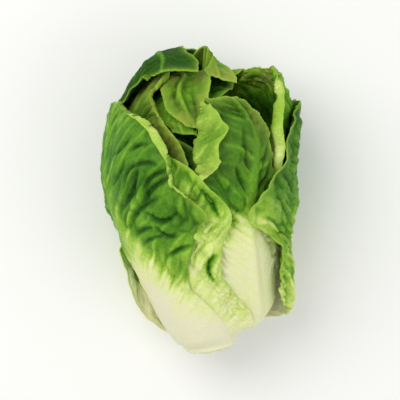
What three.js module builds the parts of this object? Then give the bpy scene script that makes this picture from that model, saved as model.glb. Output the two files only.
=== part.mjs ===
// A head of little gem lettuce, lying on its side on a table. Millimetres, +Z up.
// The head's axis runs towards +Y from the cut stem to the leaf tips. It rises by TILT, because the head lies
// on its narrow end and on a leaf that its weight presses flat.
// Each leaf is one closed shell on a layer of its own. The layers are nested, rounded envelopes around the
// axis, so leaves on different layers never meet, and leaves on the same layer stay side by side.
import * as THREE from "three";

const HEAD_HEIGHT = 146; // along the axis, from the cut to the top of the outermost layer
const HEAD_RADIUS = 49; // of the outermost layer, at the waist
const WAIST = 85; // height of the widest place
const NECK_RADIUS = 15; // of the outermost layer at the cut
const TOP_ROUNDNESS = 2.7; // exponent of the superellipse above the waist
const BELLY_RISE = 1.9; // exponent of the curve from the neck to the waist
const TOP_PACKING = 1.3; // leaves lie looser over the top than at the waist
const TABLE_PACKING = 0.8; // and closer together where the table presses them
const TILT = THREE.MathUtils.degToRad(9); // of the axis above the table
const TABLE_AT_WAIST = 45.5; // from the axis to the table at the waist, square to the axis
const PRESSED_EDGE = 2; // width over which the pressed flat blends into the round
const BUTT_SHIFT = 6; // how far the stem stands to the right of the head's middle
const TOP_SHIFT = 8.4; // how far the tips lean to the right at the top of the outermost layer
const TOP_LEAN = 1.5; // exponent of that lean above the waist
const CUT_SLANT = 0.2; // rise of the cut face towards the right
const SLANT_REACH = 30; // height at which that slant has died away
const FREE_FOOT = 13; // height at which a leaf's foot is free to stand off its layer
const LEAF_THICKNESS = 1.5;
const LEAST_RADIUS = 0.5; // keeps a leaf's thickness from passing through the axis

const STEM = [
  // radius and height of the stem's outline, from the cut up to its growing tip
  [10.5, -3],
  [11.4, -1.5],
  [11.4, 4],
  [10.4, 14],
  [8.6, 25],
  [5.6, 35],
  [2.6, 40],
];
const STEM_TIP = 41.5;
const STEM_SIDES = 20;

const GREEN = 0x4f8a2b;
const PALE_GREEN = 0x9cbc4e;
const HEART_YELLOW = 0xd9dc83;
const STEM_WHITE = 0xe6e6c8;

// Each edge and rib is a list of [angle, height]: degrees round the axis from the side that faces up, positive
// to the right, and millimetres along the axis. The lists start at the stem and end at the leaf's tip.
// bulge lifts a leaf off its layer by `out` around one place, and peak does so within `reach` of one point.
// The front rib pushes out the leaf that lies on it as well, so both share one bulge.
const RIB_BULGE = { angle: 80, height: 18, out: 8.5, angleReach: 34, heightReach: 20 };
const LEAVES = [
  {
    name: "underside_outer_leaf", depth: 0, colour: GREEN, rows: 13, columns: 12,
    low: [[156, 3], [144, 24], [124, 56], [126, 90], [162, 112]],
    rib: [[190, 2], [188, 40], [188, 80], [190, 116]],
    high: [[232, 3], [266, 22], [254, 52], [248, 88], [212, 114]],
  },
  {
    name: "left_outer_leaf", depth: 2.4, colour: GREEN, rows: 15, columns: 12,
    low: [[-72, 4], [-102, 24], [-117, 55], [-119, 85], [-106, 104], [-86, 114]],
    rib: [[-20, 2], [-42, 26], [-56, 48], [-66, 70], [-70, 92], [-73, 116]],
    high: [[36, 5], [5, 18], [-11, 32], [-5, 54], [2, 67], [-8, 82], [-13, 99], [-30, 110], [-60, 115]],
  },
  {
    name: "right_outer_leaf", depth: 2.4, colour: GREEN, rows: 16, columns: 11,
    low: [
      [116, 8], [90, 16], [68, 26], [62, 40], [46, 57], [28, 67], [38, 79], [56, 92], [60, 102], [80, 114],
    ],
    rib: [[128, 6], [110, 34], [104, 62], [100, 92], [94, 115.5]],
    high: [[150, 4], [146, 34], [146, 62], [142, 88], [109, 115]],
    bulge: { angle: 88, height: 15, out: 15, angleReach: 30, heightReach: 24 },
  },
  {
    name: "left_wrapper_leaf", depth: 4.8, colour: PALE_GREEN, rows: 13, columns: 10,
    low: [[-46, 7], [-60, 32], [-66, 60], [-62, 84], [-46, 98]],
    rib: [[8, 6], [-8, 30], [-22, 58], [-34, 85], [-40, 99]],
    high: [[68, 9], [46, 20], [14, 34], [7, 47], [18, 66], [11, 77], [-3, 88], [-28, 97]],
    bulge: RIB_BULGE,
  },
  {
    name: "back_hood_leaf", depth: 4.8, colour: GREEN, rows: 16, columns: 11,
    low: [[172, 6], [148, 38], [142, 78], [150, 108], [172, 129], [190, 136], [240, 137.6], [310, 137.6],
      [338, 135.8], [346, 132.2]],
    rib: [[208, 5], [208, 50], [208, 92], [212, 120], [238, 131.5], [268, 134.8], [296, 134.5], [312, 130.8]],
    high: [[244, 6], [272, 38], [280, 78], [280, 106], [287, 121], [298, 129]],
    peak: { angle: 263, height: 136, out: 4.5, reach: 14 },
  },
  {
    name: "front_rib_leaf", depth: 7.2, colour: GREEN, rows: 14, columns: 10,
    low: [[38, 12], [8, 30], [-6, 55], [-5, 78], [0, 94], [4, 108], [14, 120]],
    rib: [[72, 9], [50, 27], [38, 52], [37, 80], [36, 102], [24, 120]],
    high: [[108, 10], [92, 27], [72, 55], [60, 76], [50, 98], [32, 117]],
    bulge: RIB_BULGE,
  },
  {
    name: "right_back_leaf", depth: 7.2, colour: GREEN, rows: 14, columns: 12,
    low: [[118, 9], [100, 35], [80, 62], [64, 82], [54, 98], [54, 112], [60, 123], [78, 129.5]],
    rib: [[134, 8], [128, 40], [124, 80], [122, 110], [108, 129]],
    high: [[156, 9], [166, 40], [176, 80], [184, 108], [158, 127]],
    bulge: { angle: 84, height: 124, out: 2.4, angleReach: 36, heightReach: 18 },
  },
  {
    name: "left_inner_leaf", depth: 9.6, colour: GREEN, rows: 13, columns: 9,
    low: [[-88, 13], [-104, 50], [-104, 84], [-103, 107], [-100, 119], [-87, 126]],
    rib: [[-50, 12], [-58, 50], [-60, 88], [-65, 112], [-69, 129]],
    high: [[-16, 14], [-7, 50], [-5, 82], [-18, 102], [-38, 115], [-55, 128]],
  },
  {
    name: "pointed_tip_leaf", depth: 9.6, colour: PALE_GREEN, rows: 16, columns: 9,
    low: [[136, 12], [132, 50], [136, 88], [155, 120], [166, 133], [70, 134.5], [30, 127]],
    rib: [[166, 11], [166, 50], [168, 90], [180, 122], [260, 134], [350, 132.5], [12, 129]],
    high: [[196, 12], [214, 50], [220, 88], [218, 118], [262, 131], [354, 130]],
    peak: { angle: 262, height: 133.4, out: 7.5, reach: 6 },
  },
  {
    name: "heart_cap_leaf", depth: 12.2, colour: PALE_GREEN, rows: 15, columns: 9,
    low: [[180, 15], [166, 55], [160, 96], [150, 119], [80, 127], [4, 125], [-2, 107]],
    rib: [[216, 15], [216, 60], [218, 98], [236, 121], [300, 127.5], [340, 118], [353, 107]],
    high: [[250, 15], [266, 55], [272, 95], [287, 117], [302, 123], [328, 114], [346, 107.5]],
  },
  {
    name: "heart_second_cap_leaf", depth: 15.6, colour: PALE_GREEN, rows: 13, columns: 7,
    low: [[178, 20], [168, 60], [168, 98], [160, 117], [40, 122], [3, 113], [-3, 103]],
    rib: [[200, 20], [200, 60], [204, 98], [230, 118], [316, 118], [344, 103.5]],
    high: [[228, 20], [238, 60], [246, 96], [268, 112], [300, 113], [333, 104.5]],
  },
];

// The tight leaves of the heart: [depth, angle of the rib, half the leaf's width in degrees, tip's height].
const HEART = [
  [18.2, 62, 62, 100],
  [20.6, -52, 60, 104],
  [23, 172, 64, 106],
  [25.4, 34, 66, 98],
  [28.2, -100, 68, 100],
  [30.8, 120, 70, 96],
  [34, -20, 76, 92],
  [37.4, 190, 84, 88],
];
const HEART_ROWS = 9;
const HEART_COLUMNS = 7;

const radians = THREE.MathUtils.degToRad;

// Radius of the outermost layer below the waist.
function bellyRadius(height) {
  const below = 1 - Math.max(height, 0) / WAIST;
  return NECK_RADIUS + (HEAD_RADIUS - NECK_RADIUS) * (1 - below ** BELLY_RISE);
}

function tableDistance(height) {
  return TABLE_AT_WAIST + (height - WAIST) * Math.tan(TILT);
}

// The smaller of two values, rounded off where they are within `width` of each other.
function smoothMin(a, b, width) {
  const blend = Math.max(width - Math.abs(a - b), 0) / width;
  return Math.min(a, b) - (blend * blend * width) / 4;
}

// Slides a point onto the layer at this depth. The head's own frame is x to the right, y along the axis and
// z up out of the head.
function ontoLayer(point, depth) {
  const equator = HEAD_RADIUS - depth;
  const moved = point.clone();
  if (point.y > WAIST) {
    const crown = HEAD_HEIGHT - depth * TOP_PACKING - WAIST;
    const across = Math.hypot(point.x, point.z) / equator;
    const above = (point.y - WAIST) / crown;
    const grow = (across ** TOP_ROUNDNESS + above ** TOP_ROUNDNESS) ** (-1 / TOP_ROUNDNESS);
    moved.set(point.x * grow, WAIST + (point.y - WAIST) * grow, point.z * grow);
  } else {
    const grow = (bellyRadius(point.y) - depth) / Math.max(Math.hypot(point.x, point.z), LEAST_RADIUS);
    moved.set(point.x * grow, point.y, point.z * grow);
  }
  const radius = Math.hypot(moved.x, moved.z);
  if (moved.z < 0) {
    const toTable = ((tableDistance(moved.y) - depth * TABLE_PACKING) * radius) / -moved.z;
    const pressed = smoothMin(radius, toTable, PRESSED_EDGE) / radius;
    moved.x *= pressed;
    moved.z *= pressed;
  }
  return moved;
}

// The point of a layer at an angle round the axis and a height along it.
function layerPoint([angle, height], depth) {
  const a = radians(angle);
  const equator = HEAD_RADIUS - depth;
  const crown = HEAD_HEIGHT - depth * TOP_PACKING - WAIST;
  const above = Math.min(Math.max(height - WAIST, 0) / crown, 1);
  const radius =
    height > WAIST
      ? Math.max(equator * (1 - above ** TOP_ROUNDNESS) ** (1 / TOP_ROUNDNESS), LEAST_RADIUS)
      : bellyRadius(height) - depth;
  return new THREE.Vector3(radius * Math.sin(a), height, radius * Math.cos(a));
}

// How far a leaf stands off its layer at a point.
function liftAt(leaf, point) {
  let lift = 0;
  if (leaf.bulge) {
    const { angle, height, out, angleReach, heightReach } = leaf.bulge;
    const here = THREE.MathUtils.radToDeg(Math.atan2(point.x, point.z));
    const free = THREE.MathUtils.smoothstep(point.y, 0, FREE_FOOT);
    const turned = (here - angle) / angleReach;
    const raised = (point.y - height) / heightReach;
    lift += free * out * Math.exp(-(turned ** 2) - raised ** 2);
  }
  if (leaf.peak) {
    const { angle, height, out, reach } = leaf.peak;
    const away = layerPoint([angle, height], leaf.depth).distanceTo(point);
    lift += out * Math.exp(-((away / reach) ** 2));
  }
  return lift;
}

// From the head's own frame to the part's, where the cut slants and the stem and tips stand to the right.
function lean(point) {
  const below = Math.max(1 - point.y / WAIST, 0);
  const above = Math.max((point.y - WAIST) / (HEAD_HEIGHT - WAIST), 0);
  point.y += CUT_SLANT * point.x * (1 - THREE.MathUtils.smoothstep(point.y, 0, SLANT_REACH));
  point.x += BUTT_SHIFT * below + TOP_SHIFT * above ** TOP_LEAN;
  return point;
}

function leafGeometry(leaf) {
  const curves = [leaf.low, leaf.rib, leaf.high].map(
    (line) => new THREE.CatmullRomCurve3(line.map((p) => layerPoint(p, leaf.depth)), false, "centripetal"),
  );
  const { rows, columns } = leaf;
  const outside = [];
  const inside = [];
  for (let i = 0; i <= rows; i++) {
    const along = i / rows;
    const [low, rib, high] = curves.map((curve) => curve.getPointAt(along));
    for (let j = 0; j <= columns; j++) {
      const across = (2 * j) / columns - 1;
      const middle = rib.clone().lerp(across < 0 ? low : high, Math.abs(across));
      const lift = liftAt(leaf, ontoLayer(middle, leaf.depth));
      outside.push(lean(ontoLayer(middle, leaf.depth - lift)));
      inside.push(lean(ontoLayer(middle, leaf.depth - lift + LEAF_THICKNESS)));
    }
  }
  return closedShell(outside, inside, rows, columns);
}

// One closed body from two grids of points: the outer face, the inner face and the edge all round.
function closedShell(outside, inside, rows, columns) {
  const width = columns + 1;
  const count = outside.length;
  const triangles = [];
  for (let i = 0; i < rows; i++)
    for (let j = 0; j < columns; j++) {
      const a = i * width + j;
      triangles.push(a, a + 1, a + width + 1, a, a + width + 1, a + width);
      const b = a + count;
      triangles.push(b, b + width + 1, b + 1, b, b + width, b + width + 1);
    }
  const edge = [];
  for (let j = 0; j < columns; j++) edge.push(j);
  for (let i = 0; i < rows; i++) edge.push(i * width + columns);
  for (let j = columns; j > 0; j--) edge.push(rows * width + j);
  for (let i = rows; i > 0; i--) edge.push(i * width);
  edge.forEach((a, n) => {
    const b = edge[(n + 1) % edge.length];
    triangles.push(a, a + count, b + count, a, b + count, b);
  });
  const geometry = new THREE.BufferGeometry();
  geometry.setFromPoints([...outside, ...inside]);
  geometry.setIndex(triangles);
  geometry.computeVertexNormals();
  return geometry;
}

// A heart leaf's edges and rib, worked out from its angle, width and height.
function heartLeaf([depth, angle, half, tip], index) {
  const foot = footHeight(depth);
  const middle = (foot + tip) / 2;
  const shoulder = tip - 8;
  return {
    name: `heart_leaf_${index + 1}`,
    depth,
    colour: HEART_YELLOW,
    rows: HEART_ROWS,
    columns: HEART_COLUMNS,
    low: [[angle - half * 0.6, foot], [angle - half, middle], [angle - half * 0.8, shoulder]],
    rib: [[angle, foot], [angle, middle], [angle, tip]],
    high: [[angle + half * 0.6, foot], [angle + half, middle], [angle + half * 0.8, shoulder]],
  };
}

// The height at which a leaf on this layer grows out of the stem.
function footHeight(depth) {
  const room = 2.6;
  let height = 2;
  while (bellyRadius(height) - depth - LEAF_THICKNESS < stemRadius(height) + room) height += 0.5;
  return height;
}

function stemRadius(height) {
  const above = STEM.findIndex(([, h]) => h >= height);
  if (above < 0) return 0;
  const [r1, h1] = STEM[Math.max(above, 1)];
  const [r0, h0] = STEM[Math.max(above, 1) - 1];
  return r0 + ((r1 - r0) * (height - h0)) / (h1 - h0);
}

function stemGeometry() {
  const outline = [[0, STEM[0][1]], ...STEM, [0, STEM_TIP]].map(([r, h]) => new THREE.Vector2(r, h));
  const geometry = new THREE.LatheGeometry(outline, STEM_SIDES);
  const place = geometry.getAttribute("position");
  const point = new THREE.Vector3();
  for (let i = 0; i < place.count; i++) {
    lean(point.fromBufferAttribute(place, i));
    place.setXYZ(i, point.x, point.y, point.z);
  }
  return geometry;
}

function leafMesh(leaf) {
  const material = new THREE.MeshStandardMaterial({ color: leaf.colour, roughness: 0.55, metalness: 0 });
  const mesh = new THREE.Mesh(leafGeometry(leaf), material);
  mesh.name = leaf.name;
  return mesh;
}

const head = new THREE.Group();
const stem = new THREE.Mesh(
  stemGeometry(),
  new THREE.MeshStandardMaterial({ color: STEM_WHITE, roughness: 0.6, metalness: 0 }),
);
stem.name = "stem_core";
head.add(stem);
for (const leaf of [...LEAVES, ...HEART.map(heartLeaf)]) head.add(leafMesh(leaf));

// Lay the head down: the pressed leaf meets the table at z = 0, with the origin below the head's middle.
head.rotation.x = TILT;
head.updateMatrixWorld(true);
const reach = new THREE.Box3().setFromObject(head, true);
const middle = reach.getCenter(new THREE.Vector3());
head.position.set(-middle.x, -middle.y, -reach.min.z);

const part = new THREE.Group();
part.add(head);

export default part;
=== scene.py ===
"""A small cos lettuce head on a pale table: nested, wrinkled leaves with white ribs round a short stem."""
import math
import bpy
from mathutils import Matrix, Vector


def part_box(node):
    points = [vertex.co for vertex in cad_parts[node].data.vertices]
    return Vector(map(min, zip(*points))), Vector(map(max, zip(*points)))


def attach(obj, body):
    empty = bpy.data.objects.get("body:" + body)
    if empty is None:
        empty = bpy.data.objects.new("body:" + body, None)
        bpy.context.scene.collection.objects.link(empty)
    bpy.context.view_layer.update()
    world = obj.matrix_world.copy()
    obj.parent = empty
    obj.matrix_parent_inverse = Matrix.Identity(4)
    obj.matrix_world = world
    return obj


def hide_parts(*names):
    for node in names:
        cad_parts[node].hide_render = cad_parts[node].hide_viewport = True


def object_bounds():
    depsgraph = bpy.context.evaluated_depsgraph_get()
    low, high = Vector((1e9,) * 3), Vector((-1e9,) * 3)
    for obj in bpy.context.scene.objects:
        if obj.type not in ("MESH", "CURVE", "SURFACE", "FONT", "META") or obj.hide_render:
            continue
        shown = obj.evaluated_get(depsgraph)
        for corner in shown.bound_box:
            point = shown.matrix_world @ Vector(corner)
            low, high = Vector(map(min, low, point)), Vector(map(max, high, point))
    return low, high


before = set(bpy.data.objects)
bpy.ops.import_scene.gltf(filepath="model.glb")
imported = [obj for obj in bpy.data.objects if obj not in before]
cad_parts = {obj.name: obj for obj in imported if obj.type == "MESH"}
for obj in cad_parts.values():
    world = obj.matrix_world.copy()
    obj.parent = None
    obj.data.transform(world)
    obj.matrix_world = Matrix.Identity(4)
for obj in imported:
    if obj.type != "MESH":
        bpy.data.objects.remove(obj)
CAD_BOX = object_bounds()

from types import SimpleNamespace

import bmesh
import bpy
import numpy as np
from mathutils import Vector

bl_info = {
    "name": "Lettuce head",
    "version": (1, 0, 0),
    "blender": (4, 5, 0),
    "location": "View3D > Sidebar > Lettuce",
    "description": "Builds a small cos lettuce head leaf by leaf",
    "category": "Object",
}

MM = 0.001

# The head's own frame, in millimetres: x to the right, y along the axis from the cut stem, z up out of it.
HEAD_HEIGHT = 146.0  # from the cut to the topmost tips
WAIST = 85.0  # height at which the head is widest
TOP_ROUNDNESS = 2.7  # exponent of the dome above the waist
BELLY_RISE = 1.9  # exponent by which the neck widens up to the waist
TOP_PACKING = 1.3  # how much lower a layer ends, for each millimetre that it lies deeper
TABLE_PACKING = 0.8  # how much higher a layer's pressed flat lies, for each millimetre of depth
PRESSED_EDGE = 2.0  # width over which the pressed flat rounds into the side
BUTT_SHIFT = 6.0  # how far right of the axis at the waist the cut lies
TOP_SHIFT = 8.4  # how far right of it the tips lie
TOP_LEAN = 1.5  # exponent of the lean above the waist
CUT_SLANT = 0.2  # rise of the cut for each millimetre to the right
SLANT_REACH = 30.0  # height at which the slant has run out
LEAST_RADIUS = 0.5  # no layer comes closer to the axis
TILT = math.radians(9)  # the tips point up from the table by this much
TABLE_AT_WAIST = 45.5  # from the axis straight down to the table, at the waist
STEM_LEFT = -5.682  # lowest X and Y of the tilted stem, before the head is moved to its place
STEM_FOOT = -5.607
DEGREE_SPAN = 0.75  # about what one degree round the axis spans on the outer leaves
TINY = 1e-6  # keeps a division from meeting zero
FAR_OFF = 1e4  # where the table lies for a point that doesn't face it


def head_offset():
    """Where the head's own origin lies in the part's frame, in millimetres."""
    low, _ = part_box("stem_core")
    up = TABLE_AT_WAIST * math.cos(TILT) - WAIST * math.sin(TILT)
    return np.array([low[0] / MM - STEM_LEFT, low[1] / MM - STEM_FOOT, up])


def to_part(points):
    """Leans the stem and the tips to one side, tilts the axis up, and moves points to the part's frame."""
    x, y, z = points[..., 0], points[..., 1], points[..., 2]
    above = np.maximum(y - WAIST, 0) / (HEAD_HEIGHT - WAIST)
    y = y + CUT_SLANT * x * (1 - step(y, 0, SLANT_REACH))
    x = x + BUTT_SHIFT * np.maximum(1 - points[..., 1] / WAIST, 0) + TOP_SHIFT * above**TOP_LEAN
    c, s = math.cos(TILT), math.sin(TILT)
    return np.stack([x, y * c - z * s, y * s + z * c], -1) + head_offset()


# ---------------------------------------------------------------- layers


def belly_radius(height, look):
    """Radius of the outermost layer below the waist."""
    below = np.clip(1 - np.maximum(height, 0) / WAIST, 0, 1)
    neck = look.neck_radius / MM
    return neck + (look.head_radius / MM - neck) * (1 - below**BELLY_RISE)


def smooth_min(a, b, width):
    """The smaller of two lengths, rounded where they are within `width` of each other."""
    blend = np.maximum(width - np.abs(a - b), 0) / width
    return np.minimum(a, b) - blend * blend * width / 4


def onto_layer(points, depth, look):
    """Slides points onto the rounded layer that lies `depth` inside the outermost one."""
    x, y, z = points[..., 0], points[..., 1], points[..., 2]
    out = np.maximum(np.hypot(x, z), LEAST_RADIUS)
    equator = look.head_radius / MM - depth
    crown = HEAD_HEIGHT - depth * TOP_PACKING - WAIST
    above = np.maximum(y - WAIST, 0) / crown
    over = ((out / equator) ** TOP_ROUNDNESS + above**TOP_ROUNDNESS) ** (-1 / TOP_ROUNDNESS)
    under = (belly_radius(y, look) - depth) / out
    grow = np.where(y > WAIST, over, under)
    x, z = x * grow, z * grow
    y = np.where(y > WAIST, WAIST + (y - WAIST) * grow, y)
    radius = np.maximum(np.hypot(x, z), TINY)
    table = TABLE_AT_WAIST + (y - WAIST) * math.tan(TILT) - depth * TABLE_PACKING
    to_table = np.minimum(table * radius / np.maximum(-z, TINY), FAR_OFF)
    pressed = np.where(z < 0, smooth_min(radius, to_table, PRESSED_EDGE) / radius, 1.0)
    return np.stack([x * pressed, y, z * pressed], -1)


def layer_points(places, depth, look):
    """Points of a layer at angles round the axis, from the side that faces up, and heights along it."""
    angle, height = np.radians(places[:, 0]), places[:, 1]
    equator = look.head_radius / MM - depth
    crown = HEAD_HEIGHT - depth * TOP_PACKING - WAIST
    above = np.clip((height - WAIST) / crown, 0, 1)
    top = equator * (1 - above**TOP_ROUNDNESS) ** (1 / TOP_ROUNDNESS)
    radius = np.maximum(np.where(height > WAIST, top, belly_radius(height, look) - depth), LEAST_RADIUS)
    return np.stack([radius * np.sin(angle), height, radius * np.cos(angle)], -1)


# ---------------------------------------------------------------- curves and noise


CURVE_STEPS = 24  # fine steps between two points of a curve
WAVES_EACH = 9  # sine waves that are added up for one octave
FADE = 0.55  # height of an octave beside the wider one before it
STRAY = 0.42  # how far a puff's middle strays from the middle of its cell
FURROW = 0.5  # share of a puff over which it falls to its crease
# Factors that turn a cell's place and a seed into a repeatable random share, one row for each direction.
SCATTER = ((127.1, 311.7, 17.3, 43758.5453), (269.5, 183.3, 29.1, 24634.6345))


def run_along(points):
    """Distance gone along a line of points, at each point."""
    return np.concatenate([[0], np.cumsum(np.linalg.norm(np.diff(points, axis=0), axis=1))])


def at_distance(distance, gone, points):
    """The point that lies `distance` along a line of points."""
    return np.stack([np.interp(distance, gone, points[:, k]) for k in range(3)], -1)


def smooth_curve(points, count):
    """A centripetal Catmull-Rom curve through the points, resampled to even steps."""
    points = np.asarray(points, float)
    points = np.vstack([2 * points[0] - points[1], points, 2 * points[-1] - points[-2]])
    fine = []
    for p0, p1, p2, p3 in zip(points, points[1:], points[2:], points[3:]):
        t0 = 0.0
        t1 = t0 + max(np.linalg.norm(p1 - p0), TINY) ** 0.5
        t2 = t1 + max(np.linalg.norm(p2 - p1), TINY) ** 0.5
        t3 = t2 + max(np.linalg.norm(p3 - p2), TINY) ** 0.5
        t = np.linspace(t1, t2, CURVE_STEPS, endpoint=False)[:, None]
        a1 = (t1 - t) / (t1 - t0) * p0 + (t - t0) / (t1 - t0) * p1
        a2 = (t2 - t) / (t2 - t1) * p1 + (t - t1) / (t2 - t1) * p2
        a3 = (t3 - t) / (t3 - t2) * p2 + (t - t2) / (t3 - t2) * p3
        b1 = (t2 - t) / (t2 - t0) * a1 + (t - t0) / (t2 - t0) * a2
        b2 = (t3 - t) / (t3 - t1) * a2 + (t - t1) / (t3 - t1) * a3
        fine.append((t2 - t) / (t2 - t1) * b1 + (t - t1) / (t2 - t1) * b2)
    fine = np.vstack([*fine, points[-2:-1]])
    gone = run_along(fine)
    return at_distance(np.linspace(0, gone[-1], count), gone, fine)


def waves(x, y, size, seed, octaves=3):
    """Smooth random waves between about -1 and 1, whose widest ones are `size` long."""
    random = np.random.default_rng(seed)
    total, weight = np.zeros_like(x), 0.0
    for octave in range(octaves):
        part = np.zeros_like(x)
        for _ in range(WAVES_EACH):
            turn, phase = random.uniform(0, 2 * math.pi, 2)
            k = 2 * math.pi / size * 2**octave * random.uniform(0.6, 1.3)
            part += np.sin(k * (x * math.cos(turn) + y * math.sin(turn)) + phase)
        total += part / math.sqrt(WAVES_EACH) * FADE**octave
        weight += FADE**octave
    return total / weight


def scattered(x, y, seed, factors):
    """A repeatable random number between 0 and 1 for each cell."""
    by_x, by_y, by_seed, spread = factors
    return (np.sin(x * by_x + y * by_y + seed * by_seed) * spread) % 1


def puckers(x, y, seed):
    """Puffs about one unit wide: 1 in the middle of each puff and 0 on the crease between two."""
    ix, iy = np.floor(x), np.floor(y)
    first, second = np.full(x.shape, 9.0), np.full(x.shape, 9.0)
    for dx in (-1, 0, 1):
        for dy in (-1, 0, 1):
            cx, cy = ix + dx, iy + dy
            px = cx + 0.5 + STRAY * (2 * scattered(cx, cy, seed, SCATTER[0]) - 1)
            py = cy + 0.5 + STRAY * (2 * scattered(cx, cy, seed, SCATTER[1]) - 1)
            far = np.hypot(px - x, py - y)
            second = np.minimum(second, np.maximum(far, first))
            first = np.minimum(first, far)
    return step(second - first, 0, FURROW)


def step(value, low, high):
    """Runs softly from 0 at `low` to 1 at `high`."""
    t = np.clip((value - low) / (high - low), 0, 1)
    return t * t * (3 - 2 * t)


def keyed(at, keys):
    """Straight lines through (place, value) keys."""
    keys = np.asarray(keys, float)
    return np.interp(at, keys[:, 0], keys[:, 1])


# ---------------------------------------------------------------- leaves

# A leaf lies on the layer `depth` millimetres inside the outermost one, as a grid of `cells` columns and
# rows. low, rib, high: its edges and rib, as (angle, height) places from the stem to the tip. An angle is in
# degrees round the axis from the side that faces up, positive to the right, and a height in millimetres.
# rib_width: (share of the way up, half width mm). tint: (share, 0 white to 1 dark green). seed: of its waves.
# What else a leaf can have, with the values for one that doesn't say:
USUAL = {
    "uneven": 1.0,  # how far the edges stray from their smooth curves
    "veins": 1.0,  # how far the side veins show
    "puffs": 1.0,  # height of the puffs between the veins
    "ruffle": 1.0,  # height of the waves along the margin
    "flat": False,  # whether the part that rests on the table is smooth
    "ridge": 0.0,  # height mm of a ridge along the lower rib
    "white": (0.4, 0.8),  # the shares between which the rib turns from white to the blade's colour
    "blend": 2.4,  # how sharply the rib's white ends at its sides
    "rib_share": 1.0,  # how much of the rib's white shows
    "rib_tint": 0.0,  # tint of the rib where it is white
    "pale_fold": 0.16,  # how much lighter a folded strip is
    "painted_crease_shadow": 0.0,  # how much darker the lines of the creases are, as painted shadow
    "age": [(0, 0), (1, 0)],  # (share, how olive)
    "aged_margin": 0.0,  # how olive the margin is
    "lifts": [],  # places that swell: (angle, height, out mm, degrees, mm tall)
    "shades": [],  # darker places, or lighter below 0: the leaf's own patches of colour, and painted shade in hollows or painted light against cast shadow: (angle, height, how much, degrees, mm tall)
    "calm": [],  # places with lower puffs: (angle, height, how much, degrees, mm tall)
    "blisters": [],  # places with small blisters: (angle, height, height mm, degrees, mm tall)
    "peaks": [],  # points pulled outwards: (angle, height, out mm, reach mm)
    "folds": [],  # a margin folded outwards: side, then (share, strip mm, bend mm, degrees)
    "creases": [],  # width mm, depth mm, then the places that the crease runs through
    "wrinkles": [],  # creases as arcs: width mm, depth mm, middle, length mm, degrees from level, bow mm
}

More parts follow.
